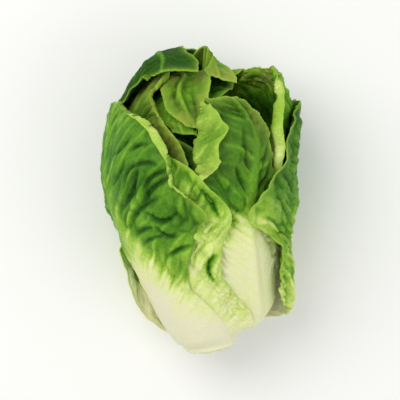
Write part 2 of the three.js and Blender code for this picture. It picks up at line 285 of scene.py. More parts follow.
LEAVES = [
    {
        "name": "underside_outer_leaf", "slot": "green_leaf", "depth": 0.0, "cells": (130, 150), "seed": 11,
        "low": [(150, -2), (148, 12), (140, 32), (124, 56), (124, 88), (146, 107), (166, 113)],
        "rib": [(190, -2), (188, 40), (188, 80), (190, 117)],
        "high": [(246, -2), (258, 8), (268, 18), (270, 28), (258, 42), (248, 60), (246, 88), (230, 106),
                 (208, 115)],
        "rib_width": [(0, 17), (0.2, 13), (0.45, 6), (0.75, 2.5), (1, 1.2)],
        "tint": [(0, 0.08), (0.2, 0.24), (0.4, 0.44), (0.7, 0.64), (1, 0.78)],
        "lifts": [(268, 22, 5.0, 18, 15)], "shades": [(268, 24, -0.4, 22, 18)], "flat": True,
    },
    {
        "name": "left_outer_leaf", "slot": "green_leaf", "depth": 2.4, "cells": (190, 210), "seed": 23,
        "low": [(-112, -2), (-112, 14), (-112, 34), (-118, 58), (-119, 84), (-108, 103), (-92, 113),
                (-80, 116.5)],
        "rib": [(-30, -2), (-41, 6), (-49, 20), (-54, 36), (-57, 48), (-64, 60), (-68, 74), (-70, 92),
                (-74, 116.5)],
        "high": [(52, -2), (41, 2), (26, 7), (9, 17), (-6, 27), (-14, 32), (-12, 43), (-6, 53), (-2, 62),
                 (3, 68), (-3, 75), (-10, 84), (-9, 94), (-16, 103), (-25, 110), (-35, 113), (-47, 114),
                 (-59, 116), (-67, 117.5)],
        "rib_width": [(0, 24), (0.12, 23), (0.22, 17), (0.32, 12.5), (0.42, 9), (0.52, 6), (0.65, 3),
                      (1, 1.2)],
        "tint": [(0, 0.02), (0.1, 0.05), (0.2, 0.3), (0.3, 0.52), (0.45, 0.63), (0.7, 0.67), (1, 0.66)],
        "white": (0.26, 0.46), "blend": 1.7, "aged_margin": 0.18, "uneven": 0.3, "pale_fold": 0.36,
        "lifts": [(-30, 72, 1.8, 34, 36)],
        "shades": [(-10, 38, -0.11, 13, 13), (-6, 60, -0.08, 10, 12), (-24, 76, 0.04, 18, 16),
                   (-52, 46, -0.18, 14, 14), (-62, 86, 0.06, 16, 24)],
        "calm": [(-66, 94, 0.8, 30, 24), (-36, 103, 0.7, 30, 12)],
        "folds": [("high", [(0.55, 0, 2, 0), (0.61, 4, 2, 90), (0.68, 6.2, 1.8, 144), (0.76, 6.5, 1.5, 156),
                            (0.83, 5.5, 1.3, 156), (0.9, 3.6, 1.3, 130), (1, 1, 1.5, 40)])],
        "wrinkles": [
            (1.1, 2.0, (-25, 84), 16, 40, 2), (1.2, 2.3, (-26, 78), 22, 45, 2),
            (1.3, 2.2, (-46, 78), 25, 55, -3), (1.2, 2.2, (-24, 69), 15, 0, -4),
            (1.0, 1.5, (-35, 88), 18, 20, 3), (1.1, 1.8, (-22, 60), 10, -30, -2),
            (1.1, 1.7, (-38, 59), 13, 25, 1), (1.1, 1.9, (-17, 50), 17, 25, 1),
            (1.3, 2.3, (-10, 50), 32, 70, -2), (1.0, 1.3, (-35, 70), 22, 35, 1),
            (1.0, 1.3, (-30, 55), 24, 20, 2), (1.0, 1.3, (-54, 85), 16, 55, -1),
            (0.9, 1.1, (-38, 98), 12, 20, 1), (0.9, 1.1, (-52, 98), 16, 45, -1),
        ],
        "puffs": 1.05, "ruffle": 0.5,
    },
    {
        "name": "right_outer_leaf", "slot": "green_leaf", "depth": 2.4, "cells": (160, 180), "seed": 37,
        "low": [(130, -2), (124, 5), (112, 10), (96, 14), (82, 18), (71, 23), (64, 30), (62, 36), (63, 42),
                (60, 48), (49, 55), (37, 60), (28, 65), (29, 70), (36, 76), (46, 84), (57, 92), (59, 101),
                (65, 108), (80, 114)],
        "rib": [(138, -2), (124, 10), (108, 20), (105, 50), (103, 80), (100, 98), (94, 115.5)],
        "high": [(156, -2), (150, 16), (146, 38), (147, 62), (142, 90), (126, 106), (108, 115)],
        "rib_width": [(0, 13), (0.2, 10), (0.45, 5), (0.75, 2.2), (1, 1.2)],
        "tint": [(0, 0.16), (0.12, 0.24), (0.25, 0.32), (0.38, 0.42), (0.5, 0.5), (0.62, 0.58), (0.8, 0.7),
                 (1, 0.78)],
        "lifts": [(88, 15, 16, 30, 24)],
        "shades": [(38, 66, -0.22, 16, 14), (60, 90, 0.06, 12, 16), (76, 26, 0.04, 20, 14)],
        "blisters": [(62, 34, 1.0, 22, 22), (78, 14, 0.9, 26, 10)],
        "creases": [
            (1.0, 1.6, [(70, 40), (72, 28), (76, 16)]), (1.0, 1.6, [(80, 46), (84, 30), (88, 14)]),
            (0.9, 1.1, [(40, 66), (50, 62), (60, 56)]), (0.9, 1.1, [(46, 76), (56, 72), (66, 64)]),
            (0.9, 1.1, [(58, 84), (68, 78), (76, 70)]),
        ],
    },
    {
        "name": "left_wrapper_leaf", "slot": "pale_leaf", "depth": 4.8, "cells": (150, 180), "seed": 41,
        "low": [(-46, 1), (-58, 30), (-66, 62), (-62, 84), (-46, 98)],
        "rib": [(2, 0), (-10, 28), (-22, 58), (-34, 85), (-40, 99.5)],
        "high": [(63, 0), (61, 5), (56, 12), (43, 20), (28, 27), (18, 33), (13, 38), (11.5, 43), (12, 50),
                 (15, 57), (18, 65), (17, 70), (12, 75.5), (5, 81.5), (-2, 87), (-10, 91.5), (-19, 95),
                 (-30, 98)],
        "rib_width": [(0, 13), (0.2, 9), (0.4, 4), (0.75, 2), (1, 1.2)],
        "tint": [(0, 0.14), (0.12, 0.18), (0.25, 0.23), (0.4, 0.29), (0.58, 0.31), (0.63, 0.36),
                 (0.69, 0.5), (1, 0.55)],
        # Its crease lines get extra painted shadow, for the dark slit along its margin.
        "white": (0.05, 0.2), "rib_share": 0.5, "painted_crease_shadow": 0.5, "uneven": 0.5, "ruffle": 0.4,
        "lifts": [(4, 43, 1.7, 7, 8), (80, 18, 8.5, 34, 20), (64, 16, 3.0, 24, 18), (4, 82, 1.8, 12, 8)],
        "blisters": [(30, 24, 0.9, 24, 13), (4, 38, 0.7, 12, 10)],
        "creases": [
            (1.1, 1.7, [(8, 49), (3, 45), (2, 40), (6, 35)]), (0.9, 1.2, [(0, 80), (6, 74), (11, 66)]),
        ],
    },
    {
        "name": "back_hood_leaf", "slot": "green_leaf", "depth": 4.8, "cells": (140, 190), "seed": 53,
        "low": [(172, 2), (148, 38), (142, 78), (150, 108), (172, 129.5), (190, 137), (240, 138.3),
                (314, 138.3), (341, 136.2), (347, 132.4)],
        "rib": [(208, 1), (208, 50), (208, 92), (212, 120), (238, 132), (268, 135.4), (296, 135),
                (312, 131)],
        "high": [(244, 2), (272, 38), (280, 78), (279, 104), (284, 117), (290, 125), (298, 129.5)],
        "rib_width": [(0, 14), (0.25, 9), (0.5, 4), (0.8, 1.6), (1, 1.0)],
        "tint": [(0, 0.1), (0.25, 0.35), (0.5, 0.6), (0.75, 0.82), (0.88, 0.99), (1, 1.0)],
        "white": (1.0, 1.3), "rib_share": 0.3, "ruffle": 0.4, "veins": 0.4, "puffs": 0.7,
        "peaks": [(263, 136, 4.2, 16)],
    },
    {
        "name": "front_rib_leaf", "slot": "green_leaf", "depth": 7.2, "cells": (170, 180), "seed": 67,
        "low": [(30, 5), (8, 30), (-6, 55), (-6, 76), (-6, 87), (-21, 94), (-20, 103), (-15, 113),
                (-2, 121)],
        "rib": [(76, 3), (62, 13), (50, 26), (41, 41), (34, 58), (35, 74), (38, 86), (38, 100), (30, 112),
                (18, 121)],
        "high": [(112, 4), (104, 14), (94, 26), (80, 42), (68, 60), (60, 76), (53, 90), (50, 98), (45, 107),
                 (37, 114), (27, 119)],
        "rib_width": [(0, 16), (0.15, 17), (0.3, 15), (0.42, 11), (0.5, 7), (0.6, 3), (0.75, 2), (1, 1.0)],
        "tint": [(0, 0.05), (0.3, 0.09), (0.4, 0.18), (0.48, 0.42), (0.6, 0.68), (0.75, 0.8), (1, 0.86)],
        "white": (0.4, 0.6), "rib_tint": 0.12, "ridge": 1.8, "pale_fold": 0.4,
        "age": [(0, 0), (0.6, 0), (0.75, 0.1), (1, 0.2)], "aged_margin": 0.3,
        "lifts": [(80, 18, 8.5, 34, 20)],
        "folds": [("low", [(0.6, 0, 1.6, 0), (0.66, 6, 1.6, 150), (0.74, 14, 1.6, 168),
                           (0.84, 15, 1.6, 168), (0.9, 11, 1.7, 160), (0.95, 5, 1.8, 120),
                           (0.985, 1, 1.8, 60), (1, 0, 1.8, 30)])],
        "creases": [
            (0.55, 0.8, [(13, 52), (20, 56)]), (0.55, 0.8, [(14, 55), (22, 59)]),
            (0.55, 0.8, [(15, 58), (23, 62)]), (0.55, 0.8, [(16, 61), (24, 65)]),
            (0.55, 0.7, [(17, 64), (25, 69)]), (0.9, 1.2, [(26, 108), (30, 98), (33, 88)]),
            (0.9, 1.2, [(24, 90), (28, 82), (31, 75)]), (0.9, 1.2, [(50, 104), (46, 94), (41, 84)]),
            (0.9, 1.1, [(53, 92), (48, 84), (41, 76)]),
        ],
    },
    {
        "name": "right_back_leaf", "slot": "green_leaf", "depth": 7.2, "cells": (130, 170), "seed": 71,
        "low": [(104, 4), (94, 35), (78, 60), (62, 78), (51, 91), (45, 102), (45, 109), (50, 118),
                (60, 125), (78, 130)],
        "rib": [(128, 4), (126, 40), (124, 80), (122, 110), (108, 129.5)],
        "high": [(156, 4), (166, 40), (176, 80), (184, 108), (172, 124), (152, 128)],
        "rib_width": [(0, 12), (0.25, 8), (0.5, 4), (0.8, 1.8), (1, 1.0)],
        # The tint lightens again towards the tip, partly as painted light on the inner face that shows at the
        # top.
        "tint": [(0, 0.1), (0.25, 0.35), (0.5, 0.6), (0.75, 0.62), (0.88, 0.54), (1, 0.5)],
        "lifts": [(84, 124, 3, 36, 18)], "pale_fold": 0.24, "puffs": 0.8, "ruffle": 0.3, "uneven": 0.4,
        # Of the shades, the first makes the folded strip yellower, the second is painted shade in the hollow
        # under the top and the third painted light above it.
        "shades": [(50, 94, -0.16, 12, 9), (134, 108, 0.4, 34, 9), (130, 126, -0.12, 40, 8)],
        "folds": [("low", [(0.54, 0, 2, 0), (0.62, 4, 2, 70), (0.7, 7, 2.2, 88), (0.82, 8, 2.6, 92),
                           (0.9, 6.5, 2.8, 84), (0.96, 3, 2.8, 60), (1, 0, 2.8, 30)])],
    },
    {
        "name": "left_inner_leaf", "slot": "green_leaf", "depth": 9.6, "cells": (130, 170), "seed": 83,
        "low": [(-88, 8), (-104, 50), (-104, 84), (-104, 107), (-102, 119), (-88, 127)],
        "rib": [(-50, 7), (-58, 50), (-60, 88), (-66, 112), (-70, 129.5)],
        "high": [(-16, 9), (-6, 50), (-4, 80), (-10, 95), (-18, 103), (-28, 109), (-36, 114), (-46, 120),
                 (-50, 125), (-55, 129.5)],
        "rib_width": [(0, 11), (0.25, 7), (0.5, 3.5), (0.8, 1.6), (1, 1.0)],
        "tint": [(0, 0.1), (0.25, 0.35), (0.5, 0.72), (0.8, 0.84), (1, 0.84)], "pale_fold": 0.3,
        "age": [(0, 0), (0.6, 0), (0.85, 0.32), (1, 0.55)], "aged_margin": 0.65, "veins": 0.6,
        # The shade is painted shade in the dark gap in front of this leaf, between the big left leaf and the
        # wrapper leaf.
        "shades": [(-6, 90, 0.25, 12, 14)],
        "white": (0.3, 0.6),
        "folds": [("high", [(0.78, 0, 1.5, 0), (0.86, 2.5, 1.5, 110), (0.94, 3.5, 1.5, 150),
                            (1, 3, 1.5, 150)])],
        "creases": [(0.9, 1.2, [(-28, 104), (-36, 100), (-44, 94)]),
                    (0.9, 1.2, [(-44, 115), (-52, 111), (-60, 104)])],
    },
    {
        "name": "pointed_tip_leaf", "slot": "pale_leaf", "depth": 9.6, "cells": (110, 150), "seed": 97,
        "low": [(136, 8), (132, 50), (136, 88), (150, 112), (160, 128), (164, 134.8), (90, 136.2),
                (46, 134.8), (37, 131.8), (29, 126.5)],
        "rib": [(166, 7), (166, 50), (168, 90), (176, 118), (192, 132), (270, 136.3), (350, 134.5),
                (10, 129)],
        "high": [(196, 8), (214, 50), (220, 88), (216, 114), (222, 128), (260, 133), (320, 134),
                 (346, 132.5), (356, 130)],
        "rib_width": [(0, 11), (0.25, 7), (0.5, 3.5), (0.8, 1.6), (1, 0.8)],
        "tint": [(0, 0.1), (0.25, 0.3), (0.5, 0.6), (0.7, 0.84), (0.86, 0.78), (1, 0.64)],
        "age": [(0, 0), (0.76, 0), (0.84, 0.7), (1, 1)],
        "peaks": [(262, 133.44, 8, 5.5)], "puffs": 0.5, "ruffle": 0.3,
    },
    {
        "name": "heart_cap_leaf", "slot": "pale_leaf", "depth": 12.2, "cells": (120, 170), "seed": 101,
        "low": [(180, 10), (166, 55), (160, 96), (150, 120), (80, 129), (20, 129.3), (2, 127), (1, 120),
                (360, 113), (357, 106.5)],
        "rib": [(216, 10), (216, 60), (218, 98), (236, 122), (290, 129), (330, 122), (345, 114),
                (353, 106.8)],
        "high": [(250, 10), (266, 55), (272, 95), (284, 116), (299, 125.5), (308, 122), (318, 118),
                 (332, 113), (347, 107.4)],
        # Both shades are painted light, lifting the shadow that the back hood leaf's margin casts on this
        # leaf's top.
        "lifts": [(2, 124, 2.5, 24, 12)], "shades": [(350, 124, -0.12, 40, 8), (318, 125, -0.1, 20, 6)],
        "rib_width": [(0, 10), (0.25, 6), (0.5, 3), (0.8, 1.4), (1, 0.8)],
        "tint": [(0, 0.1), (0.25, 0.3), (0.5, 0.5), (0.62, 0.5), (0.75, 0.66), (0.84, 0.78), (1, 0.8)],
        "age": [(0, 0), (0.6, 0), (0.8, 0.42), (1, 0.34)], "aged_margin": 0.8, "veins": 0.6,
        "white": (0.3, 0.55),
        "creases": [(0.9, 1.1, [(340, 124), (350, 118), (354, 112)]),
                    (0.9, 1.0, [(318, 124), (328, 120), (338, 115)])],
    },
    {
        "name": "heart_second_cap_leaf", "slot": "pale_leaf", "depth": 15.6, "cells": (90, 130),
        "seed": 113,
        "low": [(178, 14), (168, 60), (168, 98), (160, 118), (40, 123), (8, 117), (0, 109), (357, 103)],
        "rib": [(200, 14), (200, 60), (204, 98), (230, 119), (316, 119), (344, 103.5)],
        "high": [(228, 14), (238, 60), (246, 96), (268, 112), (300, 114), (322, 109), (334, 104.5)],
        "rib_width": [(0, 9), (0.25, 5), (0.5, 3), (0.8, 1.4), (1, 0.8)],
        "tint": [(0, 0.08), (0.25, 0.2), (0.5, 0.5), (0.8, 0.7), (1, 0.6)],
        # The shade is painted shade where this leaf lies in the dark hollow at the top right.
        "shades": [(40, 112, 0.4, 30, 20)],
        "white": (0.3, 0.55),
    },
]

# The tight leaves of the heart: depth, the rib's angle, half the width in degrees, heights of foot and tip.
HEART = [
    (18.2, 62, 62, 14, 100),
    (20.6, -52, 60, 17, 104),
    (23.0, 172, 64, 20, 106),
    (25.4, 34, 66, 22, 98),
    (28.2, -100, 68, 26, 100),
    (30.8, 120, 70, 30, 96),
    (34.0, -20, 76, 35, 92),
    (37.4, 190, 84, 42, 88),
]


def heart_leaf(index):
    """One leaf of the heart, in the same form as those above."""
    depth, angle, half, foot, tip = HEART[index]
    middle, shoulder = (foot + tip) / 2, tip - 8
    return {
        "name": f"heart_leaf_{index + 1}", "slot": "heart_leaf", "depth": depth, "cells": (44, 60),
        "seed": 200 + index,
        "low": [(angle - half * 0.6, foot), (angle - half, middle), (angle - half * 0.8, shoulder)],
        "rib": [(angle, foot), (angle, middle), (angle, tip)],
        "high": [(angle + half * 0.6, foot), (angle + half, middle), (angle + half * 0.8, shoulder)],
        "rib_width": [(0, 8), (0.3, 5), (0.6, 2.5), (1, 1)],
        # The tips are tinted nearly the darkest green, partly as painted shade down in the heart's hollow.
        "tint": [(0, 0.05), (0.4, 0.14), (0.7, 0.34), (0.88, 0.8), (1, 0.95)],
    }


NARROWEST_FOLD = 0.3  # a narrower strip is left as it is
WIDEST_FOLD = 0.6  # the most of a leaf's width that can fold
HINGE = 1.5  # length in front of the fold that gives its direction
INWARD = 0.2  # how far a fold may lean inwards before it is turned round


def fold_margin(grid, side, keys):
    """Bends the strip along one margin outwards round a radius, then lets it run straight."""
    rows, columns = grid.shape[:2]
    across = (grid[:, ::-1] if side == "high" else grid).copy()
    share = np.linspace(0, 1, rows)
    strip, bend, turn = (np.interp(share, [k[0] for k in keys], [k[n] for k in keys]) for n in (1, 2, 3))
    ups = np.gradient(across, axis=0)
    for i in range(rows):
        if strip[i] < NARROWEST_FOLD or turn[i] < 1:
            continue
        row = across[i]
        gone = run_along(row)
        width = min(strip[i], gone[-1] * WIDEST_FOLD)
        at = at_distance(width, gone, row)
        tangent = at - at_distance(width + HINGE, gone, row)
        tangent /= np.linalg.norm(tangent)
        up = ups[i, int(np.searchsorted(gone, width).clip(0, columns - 1))]
        normal = np.cross(up, tangent) * (1 if side == "low" else -1)
        normal /= np.linalg.norm(normal)
        outwards = np.array([at[0], 0, at[2]])
        if normal @ outwards < -INWARD * np.linalg.norm(outwards):
            normal = -normal
        inside = gone < width
        q = width - gone[inside]
        most = math.radians(turn[i])
        arc = np.minimum(q / bend[i], most)
        rest = np.maximum(q - bend[i] * most, 0)
        along = bend[i] * np.sin(arc) + rest * math.cos(most)
        off = bend[i] * (1 - np.cos(arc)) + rest * math.sin(most)
        row[inside] = at + np.outer(along, tangent) + np.outer(off, normal)
    return across[:, ::-1] if side == "high" else across


def normals_of(grid):
    """Directions square to a grid of points, all on one side of it."""
    down, over = np.gradient(grid, axis=0), np.gradient(grid, axis=1)
    normal = np.cross(down, over)
    return normal / np.maximum(np.linalg.norm(normal, axis=-1, keepdims=True), 1e-9)


RAGGED_MM = 0.9
RAGGED_LENGTH = 17


def ragged(edge, rib, seed, much):
    """Lets a leaf's edge run unevenly, as a grown margin does."""
    side = edge - rib
    side /= np.maximum(np.linalg.norm(side, axis=1, keepdims=True), TINY)
    gone = run_along(edge)
    uneven = RAGGED_MM * much * waves(gone, np.zeros_like(gone), RAGGED_LENGTH, seed, 4)
    return edge + side * (uneven * step(gone, 6, 24))[:, None]


def near_place(grid, angle, height, reach, tall):
    """A soft patch around one angle and height of the head: 1 in its middle."""
    here = np.degrees(np.arctan2(grid[..., 0], grid[..., 2]))
    turn = (here - angle + 180) % 360 - 180
    return np.exp(-((turn / reach) ** 2) - ((grid[..., 1] - height) / tall) ** 2)


def near_point(grid, leaf, angle, height, reach, look):
    """A soft round patch, `reach` millimetres wide, around one point of the leaf's layer."""
    point = layer_points(np.array([[angle, height]], float), leaf["depth"], look)[0]
    return np.exp(-((np.linalg.norm(grid - point, axis=-1) / reach) ** 2))


def wrinkle(width, depth, middle, length, slant, bow):
    """A crease as a shallow arc: the middle of its chord, then its length, slant from level and bow."""
    share = np.linspace(-0.5, 0.5, 5)
    along, off = length * share, bow * (1 - 4 * share**2)
    c, s = math.cos(math.radians(slant)), math.sin(math.radians(slant))
    angles = middle[0] + (along * c - off * s) / DEGREE_SPAN
    heights = middle[1] + along * s + off * c
    return width, depth, np.stack([angles, heights], -1)


# Sizes of a leaf's skin, in millimetres unless said.
RIB_SHOULDER = 2.6  # exponent by which the rib falls off at its sides
RIB_HEIGHT = 2.2
RIDGE_WIDTH = 2.6
FOOT_HELD = (1, 9)  # the foot is held smooth by the stem up to here
VEIN_STRAY = 2.6
STRAY_LENGTH = 34  # length of the waves by which the veins stray
VEIN_SLOPE = 0.95  # how far a side vein rises for each millimetre away from the rib
VEIN_BEND = 0.035
VEIN_WIDTH = 0.55
VEIN_ROOT = 0.8  # how much wider a side vein is where it leaves the rib
ROOT_REACH = 14
VEIN_TURN = 0.72  # from a distance along the rib to one square to a side vein
ALONG_VEIN = 1.38  # from a distance square to the rib to one along a side vein
PUFF_LENGTH = 2.0  # length of a puff beside its width
VEIN_HEIGHT = 0.3
STRAND_HEIGHT = 0.1
GROOVE_DEPTH = 1.25  # this and the next two: shares of the wrinkle height
FINE_HEIGHT = 0.3
WAVE_HEIGHT = 1.1
WAVE_LENGTH = 24
STRAND_LENGTH = 3.4
OTHER_SIDE = 300  # keeps the puffs left of the rib unlike those on its right
BLISTER = 2.9
MARGIN_WIDTH = 7.0
RUFFLE_LENGTH = 19
RUFFLE_OUT = 1.0  # how far the margin stands out, and how far it waves about that
RUFFLE_WAVE = 1.5
LIFT_FROM = 13  # a lift fades to nothing from this height down to the cut
RIM_WIDTH = 1.2
LEAST_THICK = 0.55
RIB_THICK = 2.9  # added to it on the rib near the stem
BLADE_THICK = 0.5  # and beside the rib
MARGIN_THICK = 0.5
CREASE_POINTS = 30  # points that stand for one crease
CREASE_TAPER = 0.6  # exponent by which a crease runs out at its ends
FULL_MASK_DEPTH = 1.8  # a crease of this depth or more has a full line of painted shade
SWELL_SHARE = 0.3  # height of the swelling beside a crease, beside the crease's depth
SWELL_PLACE = 2.8  # its distance and its width, beside the crease's width
SWELL_WIDTH = 1.7


def crease_profile(grid, leaf, look):
    """Depth of the leaf's own creases, how far the skin swells beside them, and a mask of their lines, which
    the tints darken as painted shade.
    """
    deep, swell, mask = (np.zeros(grid.shape[:2]) for _ in range(3))
    for width, depth, places in leaf["creases"] + [wrinkle(*arc) for arc in leaf["wrinkles"]]:
        line = smooth_curve(layer_points(np.array(places, float), leaf["depth"], look), CREASE_POINTS)
        far = np.linalg.norm(grid[:, :, None, :] - line[None, None], axis=-1)
        nearest = far.argmin(axis=-1)
        far = far.min(axis=-1)
        ends = np.sin(np.pi * (nearest + 0.5) / CREASE_POINTS) ** CREASE_TAPER
        near = (far / width) ** 2
        beside = ((far - SWELL_PLACE * width) / (SWELL_WIDTH * width)) ** 2
        deep = np.maximum(deep, depth * (np.exp(-near) * ends))
        mask = np.maximum(mask, np.exp(-near * 1.3) * ends * min(depth / FULL_MASK_DEPTH, 1))
        swell = np.maximum(swell, SWELL_SHARE * depth * np.exp(-beside) * ends)
    return deep, swell, mask


def leaf_grid(leaf, look):
    """The leaf on its smooth layer, from the low edge over the rib to the high edge."""
    columns, rows = leaf["cells"]
    depth, seed, uneven = leaf["depth"], leaf["seed"], leaf["uneven"]
    low, rib, high = (
        smooth_curve(layer_points(np.array(leaf[line], float), depth, look), rows + 1)
        for line in ("low", "rib", "high")
    )
    low, high = ragged(low, rib, seed + 31, uneven), ragged(high, rib, seed + 32, uneven)
    across = np.linspace(-1, 1, columns + 1)[None, :, None]
    edge = np.where(across < 0, low[:, None], high[:, None])
    return onto_layer(rib[:, None] + (edge - rib[:, None]) * np.abs(across), depth, look)


def leaf_chart(grid, leaf):
    """Distances over the leaf in millimetres, and masks of its rib, its blade and its free part."""
    columns, rows = leaf["cells"]
    middle = columns // 2
    steps = np.linalg.norm(np.diff(grid, axis=1), axis=2)
    low = np.concatenate([np.zeros((rows + 1, 1)), np.cumsum(steps, axis=1)], axis=1)
    rises = np.linalg.norm(np.diff(grid, axis=0), axis=2)
    up = np.concatenate([np.zeros((1, columns + 1)), np.cumsum(rises, axis=0)], axis=0)
    at = SimpleNamespace(grid=grid, low=low, high=low[:, -1:] - low, tip=up[-1:] - up)
    at.margin = np.minimum(np.minimum(at.low, at.high), at.tip)
    at.across = low - low[:, middle : middle + 1]
    at.out = np.abs(at.across)
    at.up = np.repeat(up[:, middle : middle + 1], columns + 1, axis=1)
    at.share = np.repeat(np.linspace(0, 1, rows + 1)[:, None], columns + 1, axis=1)
    at.half = keyed(at.share, leaf["rib_width"])
    at.rib = np.exp(-((at.out / at.half) ** RIB_SHOULDER))
    at.blade = step(at.out, at.half * 0.7, at.half * 1.5)
    at.free = step(at.up, *FOOT_HELD)
    return at


def add_veins(at, leaf, look):
    """Side veins leave the rib steeply and bend towards the margin, with long puffs of skin between them."""
    seed, spacing, cell = leaf["seed"], look.vein_spacing / MM, look.pucker_size / MM
    right = at.across > 0
    at.warp = waves(at.up, at.across, STRAY_LENGTH, seed, 2) * VEIN_STRAY
    at.rise = at.up - VEIN_SLOPE * at.out + at.out**1.5 * VEIN_BEND + at.warp
    phase = at.rise / spacing + np.where(right, 0.5, 0)
    to_vein = np.abs(phase - np.round(phase)) * spacing * VEIN_TURN
    width = VEIN_WIDTH + VEIN_ROOT * np.exp(-at.out / ROOT_REACH)
    beyond_middle, before_margin = step(at.out, 0.5, 3), step(at.margin, 0.5, 7)
    beside_rib = 0.35 + 0.65 * step(at.out, at.half * 0.5, at.half)
    vein = np.exp(-((to_vein / width) ** 2)) * beyond_middle
    at.vein = vein * before_margin * beside_rib * at.free * leaf["veins"]
    along = at.out * ALONG_VEIN + np.where(right, 0, OTHER_SIDE)
    bent = along + waves(at.up, at.across, 15, seed + 9, 1)
    puffs = puckers(at.rise / cell, bent / cell / PUFF_LENGTH, seed)
    at.fine = puckers((at.rise + 31) / cell * 1.9, (along - 17) / cell * 1.2, seed + 3)
    strength = 0.3 + 0.7 * step(waves(at.up, at.across, 30, seed + 5, 2), -0.35, 0.45)
    at.grooves = (1 - puffs) * at.blade * strength * step(at.margin, 0.5, 5)
    at.streak = waves(at.rise, along * 0.12, STRAND_LENGTH, seed + 51, 3)


def add_folds(at, leaf):
    """Folds the strips along the margins, marks them, and finds the directions that point outwards."""
    at.shaped, at.folded = at.grid, np.zeros_like(at.up)
    for side, keys in leaf["folds"]:
        at.shaped = fold_margin(at.shaped, side, keys)
        strip = keyed(at.share, [key[:2] for key in keys])
        at.folded = np.maximum(at.folded, step(strip - (at.low if side == "low" else at.high), 0.2, 1.6))
    at.outwards = normals_of(at.shaped)
    if np.mean(np.sum(at.outwards * at.shaped * np.array([1, 0, 1]), -1)) < 0:
        at.outwards = -at.outwards


def relief(at, leaf, look):
    """How far the skin stands out from its layer, in millimetres: rib, veins, puffs, creases and ruffles."""
    seed = leaf["seed"]
    puffed = look.wrinkle_height / MM * leaf["puffs"] * np.ones_like(at.up)
    for angle, height, less, reach, tall in leaf["calm"]:
        puffed *= 1 - less * near_place(at.grid, angle, height, reach, tall)
    crinkle = at.blade * (0.6 + 0.4 * step(at.share, 0.15, 0.45))
    swells = waves(at.up, at.across, WAVE_LENGTH, seed + 12, 2)
    ridge = np.exp(-((at.across / RIDGE_WIDTH) ** 2))
    off = RIB_HEIGHT * at.rib * (1 - 0.75 * at.share) * step(at.margin, 0, 4)
    off += leaf["ridge"] * ridge * step(at.share, 0.03, 0.1) * (1 - step(at.share, 0.4, 0.6))
    off += VEIN_HEIGHT * at.vein - puffed * GROOVE_DEPTH * at.grooves
    skin = puffed * FINE_HEIGHT * at.fine + puffed * WAVE_HEIGHT * swells
    off += crinkle * skin + STRAND_HEIGHT * at.streak * at.blade
    off += at.swell * at.blade - at.deep * (0.25 + 0.75 * at.blade)
    # From here the groove mask only feeds the painted shade in the tints: less of it where the skin swells
    # beside a crease.
    at.grooves = at.grooves * (1 - 0.6 * np.clip(at.swell, 0, 1))
    for angle, height, tall_mm, reach, tall in leaf["blisters"]:
        patch = near_place(at.grid, angle, height, reach, tall) * (1 - 0.8 * at.rib)
        small = puckers(at.up / BLISTER + 0.3 * at.warp, at.across / BLISTER, seed + 71)
        off += tall_mm * patch * (small - 0.5 + 0.5 * waves(at.up, at.across, 9, seed + 72, 2))
        # and more painted shade in the dips between the blisters
        at.grooves = np.maximum(at.grooves, 0.8 * patch * (1 - small))
    along_margin = np.where(at.tip <= np.minimum(at.low, at.high), at.across, at.up)
    near = np.exp(-((at.margin / MARGIN_WIDTH) ** 2))
    ruffle = waves(along_margin, np.full_like(at.up, 3.0), RUFFLE_LENGTH, seed + 15, 3)
    off += near * (RUFFLE_OUT + RUFFLE_WAVE * ruffle) * step(at.share, 0.12, 0.4) * leaf["ruffle"]
    off *= at.free
    for angle, height, out_mm, reach, tall in leaf["lifts"]:
        above_cut = step(at.grid[..., 1], 0, LIFT_FROM)
        off += out_mm * near_place(at.grid, angle, height, reach, tall) * above_cut
    for angle, height, out_mm, reach in leaf["peaks"]:
        off += out_mm * near_point(at.grid, leaf, angle, height, reach, look)
    if leaf["flat"]:
        facing_table = step(-at.outwards[..., 2], 0.75, 0.93)
        off = off * (1 - facing_table)
    return off


RIB_GREENS = 0.84  # how much of its white the rib loses on its way up
SIDES_DARKER = 0.07  # this and the next ones: changes of tint; the groove and crease ones are painted shade
GROOVE_DARK = 0.15
CREASE_DARK = 0.34
PALE_GROOVE_DARK = 0.06
PALE_CREASE_DARK = 0.1
MOTTLE = 0.07


